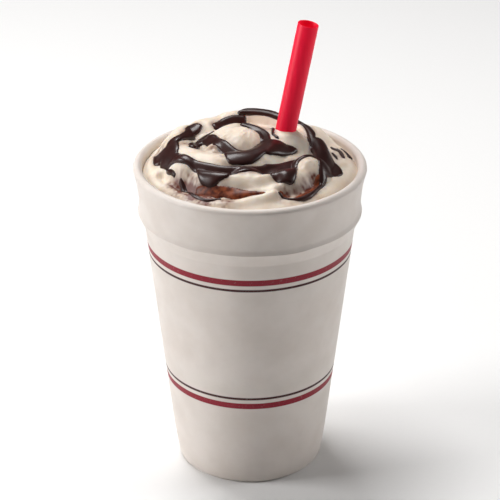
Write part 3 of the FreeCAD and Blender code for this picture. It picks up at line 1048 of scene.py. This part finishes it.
@dataclass
class Shake:
    """The drink: a solid from the cup's floor up to its swirled top."""

    swirl: Swirl
    inside: list[Point]
    smears_and_shade: tuple[SmearAndShade, ...] = ()
    into_wall: float = 0.3
    grid: int = 250
    seep_reach: float = 2.4
    seep_strength: float = 0.8
    seep_cloud: float = 3.2
    seep_patch: float = 9.0
    streak_size: float = 5.0
    fleck_size: float = 0.9

    def build(self, pours: Iterable["Pour"]) -> bpy.types.Object:
        """Make the swirled top on a round grid, close it down the wall and dress it.

        Args:
            pours: The sauce that stains it.

        Returns:
            The shake.
        """
        count = self.grid + 1
        steps = np.linspace(-1, 1, count)
        u, v = np.meshgrid(steps, steps, indexing="ij")
        radius = self.swirl.mouth + self.into_wall
        x = radius * u * np.sqrt(1 - v**2 / 2)
        y = radius * v * np.sqrt(1 - u**2 / 2)
        top = np.stack([x, y, self.swirl.height(x, y)], axis=-1).reshape(-1, 3)
        number = np.arange(count * count).reshape(count, count)
        faces = np.stack(
            [number[:-1, :-1], number[1:, :-1], number[1:, 1:], number[:-1, 1:]], axis=-1
        ).reshape(-1, 4)
        rim = np.concatenate(
            [number[:-1, 0], number[-1, :-1], number[:0:-1, -1], number[0, :0:-1]]
        )
        vertices, side_faces = self.sides(top, rim)
        shake = mesh_piece("shake_of_ice_milk", vertices, faces.tolist() + side_faces)
        stain_and_shade = self.stain_and_shade(vertices, pours)
        layer = shake.data.attributes.new("stain_and_shade", "FLOAT", "POINT")
        layer.data.foreach_set("value", stain_and_shade.astype(np.float32))
        settle(shake, IceMilk().material(), Slot.SHAKE, "shake")
        return shake

    def sides(self, top: Array, rim: Array) -> tuple[Array, list[Any]]:
        """Carry the top's rim down the inside of the wall and close the floor.

        Args:
            top: The top's points.
            rim: Numbers of its outermost points, in order round the mouth.

        Returns:
            All the points, and the faces of the side and the floor.
        """
        bearing = np.arctan2(top[rim, 1], top[rim, 0])
        rings = [top]
        faces: list[Any] = []
        above = rim
        start = len(top)
        for radius, height in self.inside[1:]:
            reach = radius + self.into_wall
            ring = np.stack(
                [reach * np.cos(bearing), reach * np.sin(bearing), np.full(len(rim), height)], axis=-1
            )
            rings.append(ring)
            below = np.arange(start, start + len(rim))
            start += len(rim)
            faces += np.stack([np.roll(above, -1), above, below, np.roll(below, -1)], axis=-1).tolist()
            above = below
        faces.append(above[::-1].tolist())
        return np.concatenate(rings), faces

    def stain_and_shade(self, points: Array, pours: Iterable["Pour"]) -> Array:
        """Return how far sauce has melted into each point, and the listed spots of melted sauce and of
        painted shade.

        Args:
            points: The shake's points.
            pours: The sauce on it.

        Returns:
            A share between zero and one for each point.
        """
        x, y = points[:, 0], points[:, 1]
        deepest = np.max([pour.inside(x, y) for pour in pours], axis=0)
        cloud = 0.5 + 0.5 * smooth_noise(x, y, self.seep_cloud, 31)
        patch = np.clip(0.55 + 0.9 * smooth_noise(x, y, self.seep_patch, 32), 0, 1)
        seeped = np.clip(1 + deepest / self.seep_reach, 0, 1) ** 1.5
        seeped = seeped * (0.35 + 0.65 * cloud) * patch * self.seep_strength
        bearing = np.arctan2(y, x) * self.swirl.mouth
        streaks = 0.5 + 0.5 * smooth_noise(bearing, 4.0 * np.hypot(x, y), self.streak_size, 33)
        flecks = 0.5 + 0.5 * smooth_noise(x, y, self.fleck_size, 34)
        smeared_and_shaded = np.zeros(len(points))
        # The listed spots are melted sauce, and one broad faint spot is painted shade in the trough
        # between the heart and the front wave.
        for degrees, share, radius, strength in self.smears_and_shade:
            at_x, at_y = self.swirl.place(degrees, share)
            near = np.exp(-((x - at_x) ** 2 + (y - at_y) ** 2) / radius**2)
            smeared_and_shaded = np.maximum(smeared_and_shaded, strength * near)
        mottled = smeared_and_shaded * (0.25 + 0.75 * streaks + 0.8 * flecks**2)
        return np.clip(np.maximum(seeped, mottled), 0, 1)


# ---- The sauce ----


@dataclass
class Pour:
    """One pour of sauce: strokes of angle, mouth share and half width, and sheets by outline."""

    name: str
    swirl: Swirl
    strokes: tuple[Stroke, ...]
    sheets: tuple[Outline, ...] = ()
    nodes: tuple[str, ...] = ()
    slot: Slot = Slot.FUDGE
    thickness: float = 0.8
    edge_round: float = 1.2
    swell: float = 0.3
    swell_reach: float = 4.0
    uneven: float = 0.1
    uneven_size: float = 4.5
    edge_fullness: float = 0.6
    edge_dip: float = 1.2
    blend: float = 0.35
    spacing: float = 0.3
    margin: float = 1.5
    sunk: float = 0.6
    skin: float = 0.15
    lines: list[Array] = field(init=False)
    edges: list[Array] = field(init=False)

    def __post_init__(self) -> None:
        """Lay out centre lines as rows of x, y, half width, and sheet edges as rows of x, y."""
        self.lines = [self.centre_line(stroke) for stroke in self.strokes]
        self.edges = [self.sheet_edge(sheet) for sheet in self.sheets]

    def centre_line(self, stroke: Stroke) -> Array:
        """Return close points along a stroke, with its half width at each.

        Args:
            stroke: The stroke's points.

        Returns:
            Rows of x, y and half width.
        """
        knots = np.array(
            [(*self.swirl.place(degrees, share), half) for degrees, share, half in stroke]
        )
        padded = np.vstack([2 * knots[0] - knots[1], knots, 2 * knots[-1] - knots[-2]])
        return np.vstack([smooth_run(padded), knots[-1:]])

    def sheet_edge(self, sheet: Outline) -> Array:
        """Return close points round a sheet, as rows of x and y."""
        knots = np.array([self.swirl.place(degrees, share) for degrees, share in sheet])
        return smooth_run(np.vstack([knots[-1:], knots, knots[:2]]))

    def inside(self, x: Array, y: Array) -> Array:
        """Return how far places lie inside the sauce, less than zero outside.

        Args:
            x: Places, in millimetres.
            y: Places, in millimetres.

        Returns:
            Distances from the edge, of the same shape as x.
        """
        parts = []
        for line in self.lines:
            deepest = np.full(x.shape, -FAR)
            for at_x, at_y, half in line:
                deepest = np.maximum(deepest, half - np.hypot(x - at_x, y - at_y))
            parts.append(deepest)
        for edge in self.edges:
            parts.append(depth_in_outline(x, y, edge))
        peak = np.max(parts, axis=0)
        return peak + self.blend * np.log(sum(np.exp((p - peak) / self.blend) for p in parts))

    def layer(self, x: Array, y: Array) -> Array:
        """Return the sauce's thickness, less than zero where it dips under the shake.

        Args:
            x: Places, in millimetres.
            y: Places, in millimetres.

        Returns:
            Thicknesses of the same shape as x.
        """
        depth = self.inside(x, y)
        share = np.clip(depth / self.edge_round, 0, 1)
        edge = (1 - (1 - share) ** 2) ** self.edge_fullness
        swell = self.swell * np.clip(depth / self.swell_reach, 0, 1)
        uneven = 1 + self.uneven * smooth_noise(x, y, self.uneven_size, 41)
        over = self.thickness * (edge + swell) * uneven
        return np.where(depth > 0, over, np.maximum(self.edge_dip * depth, -self.sunk))

    def build(self, material: bpy.types.Material) -> bpy.types.Object:
        """Make the sauce as a rounded layer whose edge dips under the shake's surface.

        Args:
            material: The sauce's material.

        Returns:
            The sauce.
        """
        places = np.vstack([line[:, :2] for line in self.lines] + self.edges)
        margin = max([line[:, 2].max() for line in self.lines], default=0.0) + self.margin
        low, high = places.min(axis=0) - margin, places.max(axis=0) + margin
        x, y = np.meshgrid(
            np.arange(low[0], high[0], self.spacing),
            np.arange(low[1], high[1], self.spacing),
            indexing="ij",
        )
        thick = self.layer(x, y)
        ground = np.stack([x, y, self.swirl.height(x, y, False)], axis=-1).reshape(-1, 3)
        normals = self.swirl.normal(x, y).reshape(-1, 3)
        kept = thick > -self.sunk
        cells = kept[:-1, :-1] & kept[1:, :-1] & kept[1:, 1:] & kept[:-1, 1:]
        upper = ground + normals * thick.reshape(-1, 1)
        lower = ground - normals * (self.sunk + self.skin)
        sauce = mesh_piece(self.name, *layer_mesh(upper, lower, cells, x.shape))
        settle(sauce, material, self.slot, *self.nodes)
        return sauce


def smooth_run(knots: Array, step: float = 0.4) -> Array:
    """Return close points of a smooth curve through knots, without the first and last knot.

    Args:
        knots: Rows to pass through, led and followed by one that only bends the curve.
        step: Distance between points.

    Returns:
        Rows like those of the knots, up to but without the last one passed.
    """
    pieces = []
    for at in range(len(knots) - 3):
        before, start, end, after = knots[at : at + 4]
        count = max(int(np.linalg.norm((end - start)[:2]) / step), 2)
        part = np.linspace(0, 1, count, endpoint=False)[:, None]
        pieces.append(
            start
            + 0.5 * (end - before) * part
            + (before - 2.5 * start + 2 * end - 0.5 * after) * part**2
            + 0.5 * (3 * start - before - 3 * end + after) * part**3
        )
    return np.vstack(pieces)


def depth_in_outline(x: Array, y: Array, edge: Array) -> Array:
    """Return how far places lie inside a closed outline, less than zero outside.

    Args:
        x: Places, in millimetres.
        y: Places, in millimetres.
        edge: Rows of x and y round the outline.

    Returns:
        Distances of the same shape as x.
    """
    nearest = np.full(x.shape, FAR)
    crossings = np.zeros(x.shape, dtype=int)
    for (x0, y0), (x1, y1) in zip(edge, np.roll(edge, -1, axis=0)):
        nearest = np.minimum(nearest, np.hypot(x - x0, y - y0))
        if y0 != y1:
            level = (y0 > y) != (y1 > y)
            crossings += level & (x < x0 + (y - y0) * (x1 - x0) / (y1 - y0))
    return np.where(crossings % 2 == 1, nearest, -nearest)


def layer_mesh(
    upper: Array, lower: Array, cells: Array, shape: tuple[int, int]
) -> tuple[Array, list[Any]]:
    """Close a layer between two sheets on the same grid.

    Args:
        upper: The upper sheet's points.
        lower: The lower sheet's points.
        cells: Which cells of the grid are filled.
        shape: The grid's shape.

    Returns:
        The points in use and the faces.
    """
    total = shape[0] * shape[1]
    number = np.arange(total).reshape(shape)
    corners = np.stack(
        [number[:-1, :-1], number[1:, :-1], number[1:, 1:], number[:-1, 1:]], axis=-1
    )[cells]
    faces = [corners, corners[:, ::-1] + total]
    padded = np.pad(cells, 1)
    sides = (
        (padded[1:-1, :-2], 0, 1),
        (padded[2:, 1:-1], 1, 2),
        (padded[1:-1, 2:], 2, 3),
        (padded[:-2, 1:-1], 3, 0),
    )
    for neighbour, first, last in sides:
        open_here = ~neighbour[cells]
        edge = corners[open_here]
        start, end = edge[:, first], edge[:, last]
        faces.append(np.stack([end, start, start + total, end + total], axis=-1))
    rows = np.concatenate(faces)
    used, rows_used = np.unique(rows, return_inverse=True)
    points = np.concatenate([upper, lower])[used]
    return points, rows_used.reshape(rows.shape).tolist()


# ---- The studio ----


@dataclass(frozen=True)
class SoftBox:
    """A square soft light: its place and side in metres, and its power in watts."""

    name: str
    place: tuple[float, float, float]
    side: float
    watts: float

    def build(self, target: tuple[float, float, float]) -> None:
        """Hang the light so that it faces a target.

        Args:
            target: The point that it faces, in metres.
        """
        light = bpy.data.lights.new(self.name, "AREA")
        light.shape = "SQUARE"
        light.size = self.side
        light.energy = self.watts
        lamp = bpy.data.objects.new(self.name, light)
        lamp.location = self.place
        lamp.rotation_mode = "QUATERNION"
        lamp.rotation_quaternion = (Vector(target) - Vector(self.place)).to_track_quat("-Z", "Y")
        bpy.context.scene.collection.objects.link(lamp)


@dataclass
class Studio:
    """Plain pale floor, soft lights and the camera."""

    pitch_degrees: float = 26.44
    distance: float = 877.4
    aim_height: float = 93.5
    lens: float = 154.18
    sensor: float = 36.0
    floor_size: float = 6000.0
    room_glow: float = 0.03
    lit_point: tuple[float, float, float] = (0.0, 0.0, 0.1)
    boxes: tuple[SoftBox, ...] = (
        SoftBox("sky_box", (-0.25, 0.4, 1.2), 0.6, 13.0),
        SoftBox("left_box", (-0.95, -0.12, 0.5), 0.4, 6.5),
        SoftBox("right_box", (0.95, 0.1, 0.45), 0.35, 3.0),
    )

    def build(self) -> None:
        """Make the floor, the lights and the camera."""
        self.add_floor()
        for box in self.boxes:
            box.build(self.lit_point)
        self.add_room()
        self.add_camera()

    def add_floor(self) -> None:
        """Lay a large plane under the cup."""
        bpy.ops.object.select_all(action="DESELECT")
        bpy.ops.mesh.primitive_plane_add(size=self.floor_size * MM, location=(0, 0, 0))
        floor = bpy.context.object
        floor.name = "studio_floor"
        floor.data.materials.append(Paper().material())

    def add_room(self) -> None:
        """Set the faint light that comes from all round."""
        world = bpy.data.worlds.new("soft_room")
        bpy.context.scene.world = world
        world.use_nodes = True
        background = world.node_tree.nodes["Background"]
        background.inputs["Color"].default_value = (1.0, 1.0, 1.0, 1.0)
        background.inputs["Strength"].default_value = self.room_glow
        bpy.context.scene.view_settings.view_transform = "Standard"

    def add_camera(self) -> None:
        """Point the camera down at the cup from the front."""
        pitch = math.radians(self.pitch_degrees)
        camera = bpy.data.cameras.new("studio_camera")
        camera.lens = self.lens
        camera.sensor_width = self.sensor
        camera.clip_start = 0.05
        back, up = self.distance * math.cos(pitch), self.distance * math.sin(pitch)
        holder = bpy.data.objects.new("studio_camera", camera)
        holder.location = Vector((0, -back, self.aim_height + up)) * MM
        holder.rotation_mode = "XYZ"
        holder.rotation_euler = (math.radians(90) - pitch, 0, 0)
        bpy.context.scene.collection.objects.link(holder)
        bpy.context.scene.camera = holder


# ---- The pours ----

# A stroke is a run of points: angle, share of the mouth's radius and half width. A sheet is an
# outline: angle and share of each point round it.

FRONT_STROKES: tuple[Stroke, ...] = (
    (
        (-170, 0.78, 2.4), (-154, 0.70, 2.2), (-145, 0.66, 1.8), (-137, 0.64, 1.9),
        (-128, 0.62, 2.3), (-118, 0.60, 2.5), (-110, 0.575, 2.4), (-101, 0.55, 2.3),
        (-90, 0.525, 2.3), (-78, 0.505, 2.3), (-66, 0.49, 2.5), (-52, 0.49, 2.6),
        (-38, 0.50, 2.6), (-28, 0.54, 2.8), (-22, 0.58, 2.8),
    ),
    ((178, 0.72, 2.2), (172, 0.64, 2.0), (160, 0.60, 2.4)),
    ((47, 0.66, 1.5), (41, 0.69, 1.9), (31, 0.66, 1.9), (22, 0.62, 1.6), (14, 0.60, 1.8)),
    (
        (-34, 0.80, 1.4), (-40, 0.83, 1.0), (-47, 0.86, 0.9), (-54, 0.89, 1.2),
        (-61, 0.895, 0.9), (-67, 0.865, 0.5), (-71, 0.81, 0.7),
    ),
)
FRONT_SHEETS: tuple[Outline, ...] = (
    (
        (173, 0.90), (176, 0.85), (-175, 0.77), (-166, 0.72), (-165, 0.79), (-172, 0.83),
        (-176, 0.89),
    ),
    ((177, 0.86), (178, 0.80), (179, 0.73), (-180, 0.67), (-169, 0.66), (-165, 0.70), (-172, 0.78)),
    ((164, 0.63), (152, 0.68), (144, 0.67), (143, 0.56), (150, 0.54), (157, 0.57), (168, 0.59)),
    (
        (-140, 0.63), (-131, 0.61), (-120, 0.58), (-108, 0.55), (-106, 0.66), (-112, 0.71),
        (-117, 0.75), (-123, 0.75), (-129, 0.73), (-136, 0.67),
    ),
    (
        (-74, 0.46), (-60, 0.44), (-42, 0.44), (-30, 0.50), (-43, 0.59), (-54, 0.71),
        (-60, 0.76), (-67, 0.73), (-72, 0.65),
    ),
    (
        (14, 0.57), (20, 0.65), (17, 0.73), (2, 0.74), (-7, 0.82), (-18, 0.89), (-27, 0.83),
        (-36, 0.80), (-32, 0.73), (-24, 0.66), (-4, 0.58), (4, 0.55),
    ),
)
HEART_STROKES: tuple[Stroke, ...] = (
    (
        (-167, 0.53, 1.9), (178, 0.50, 2.1), (170, 0.43, 2.2), (-179, 0.36, 2.2),
        (-160, 0.325, 2.2), (-140, 0.31, 2.2), (-124, 0.33, 2.4),
    ),
    ((-20, 0.15, 2.2), (20, 0.135, 2.2), (60, 0.15, 2.0), (92, 0.19, 1.8), (106, 0.22, 1.5)),
)
HEART_SHEETS: tuple[Outline, ...] = (
    (
        (-148, 0.29), (-124, 0.27), (-107, 0.26), (-89, 0.23), (-60, 0.16), (-20, 0.17),
        (-50, 0.30), (-74, 0.38), (-87, 0.45), (-96, 0.48), (-105, 0.50), (-114, 0.50),
        (-124, 0.42),
    ),
    ((-45, 0.14), (-18, 0.23), (-9, 0.32), (-8, 0.44), (-24, 0.40), (-45, 0.37), (-66, 0.34)),
)
CREST_STROKES: tuple[Stroke, ...] = (
    ((130, 0.47, 2.2), (120, 0.485, 3.0), (108, 0.505, 2.8), (97, 0.53, 1.3)),
)
BACK_STROKES: tuple[Stroke, ...] = (
    ((99, 0.59, 1.0), (91, 0.61, 2.0), (82, 0.62, 2.3), (72, 0.62, 2.2), (64, 0.61, 1.8)),
)
POOL_SHEETS: tuple[Outline, ...] = (
    (
        (-129, 0.77), (-121, 0.74), (-112, 0.73), (-100, 0.73), (-88, 0.76), (-80, 0.79),
        (-90, 0.81), (-100, 0.82), (-108, 0.80), (-116, 0.83), (-124, 0.84),
    ),
)
# Where the sauce has melted into the shake, and one spot of painted shade: angle, share, radius and
# strength.
# The broad faint spot at -100 degrees is painted shade in the trough between the heart and the front
# wave.
SMEARS_AND_SHADE: tuple[SmearAndShade, ...] = (
    (-153, 0.37, 6.0, 0.6), (-144, 0.84, 3.5, 1.2), (-135, 0.83, 4.8, 1.8), (-126, 0.84, 4.8, 1.8),
    (-116, 0.87, 4.2, 1.5), (-104, 0.86, 4.0, 1.0), (-42, 0.79, 3.0, 1.2), (-50, 0.83, 3.5, 1.4),
    (-58, 0.85, 3.5, 1.3), (-67, 0.82, 3.5, 1.0), (-112, 0.50, 5.0, 0.5),
    (172, 0.84, 4.0, 0.6), (-176, 0.62, 4.0, 0.5), (58, 0.40, 6.0, 0.5), (30, 0.60, 5.0, 0.5),
    (12, 0.84, 5.0, 0.5), (-100, 0.40, 8.0, 0.3), (-35, 0.64, 6.0, 0.3),
)
RUN_SHEETS: tuple[Outline, ...] = (
    (
        (-38, 0.77), (-35, 0.80), (-42, 0.84), (-50, 0.875), (-57, 0.885), (-63, 0.87), (-58, 0.84),
        (-50, 0.82), (-44, 0.79),
    ),
    ((-71, 0.80), (-69, 0.83), (-66, 0.84), (-67, 0.80), (-70, 0.78)),
)
FLECK_STROKES: tuple[Stroke, ...] = (
    (
        (-143, 0.79, 0.5), (-138, 0.80, 0.8), (-130, 0.85, 0.7), (-122, 0.89, 0.6),
        (-115, 0.905, 0.6), (-108, 0.86, 0.5),
    ),
    ((-165, 0.79, 0.4), (-157, 0.80, 0.5), (-149, 0.80, 0.3)),
    ((166, 0.50, 0.5), (158, 0.47, 0.8), (150, 0.45, 0.7), (140, 0.44, 0.4)),
    ((66, 0.40, 0.4), (45, 0.30, 0.5), (17, 0.22, 0.6), (0, 0.25, 0.7)),
    ((22, 0.82, 0.4), (19, 0.83, 0.7), (15, 0.86, 0.4)),
    ((13, 0.79, 0.4), (8, 0.80, 0.6), (3, 0.81, 0.4)),
    ((18, 0.86, 0.4), (13, 0.87, 0.8), (7, 0.88, 0.4)),
    ((20, 0.91, 0.4), (16, 0.93, 0.6), (11, 0.95, 1.0)),
)


def main() -> None:
    """Build the cup, the straw, the drink, the sauce and the studio."""
    logging.basicConfig(level=logging.INFO, format="%(name)s: %(message)s")
    cup = FoamCup.from_frame()
    cup.build()
    Straw.from_frame().build()
    swirl = Swirl(lip=cup.height, mouth=cup.mouth_radius)
    sauce = [
        Pour("fudge_front_wave", swirl, FRONT_STROKES, FRONT_SHEETS, ("fudge_front",)),
        Pour("fudge_heart_loop", swirl, HEART_STROKES, HEART_SHEETS, ("fudge_heart",)),
        Pour("fudge_crest_drop", swirl, CREST_STROKES, (), ("fudge_crest",)),
        Pour("fudge_back_strand", swirl, BACK_STROKES, (), ("fudge_back",)),
        Pour("fudge_flecks", swirl, FLECK_STROKES, thickness=0.55, edge_round=0.7),
    ]
    pool = Pour(
        "syrup_in_groove", swirl, (), POOL_SHEETS, ("syrup_pool",), Slot.SYRUP, thickness=0.5
    )
    run = Pour(
        "syrup_run_right", swirl, (), RUN_SHEETS, slot=Slot.SYRUP, thickness=0.3, edge_round=1.0
    )
    fudge = Fudge().material()
    for pour in sauce:
        pour.build(fudge)
    syrup = Syrup().material()
    pool.build(syrup)
    run.build(syrup)
    Shake(swirl, cup.inner_corners(), SMEARS_AND_SHADE).build([*sauce, pool, run])
    Studio().build()


if __name__ == "__main__":
    main()
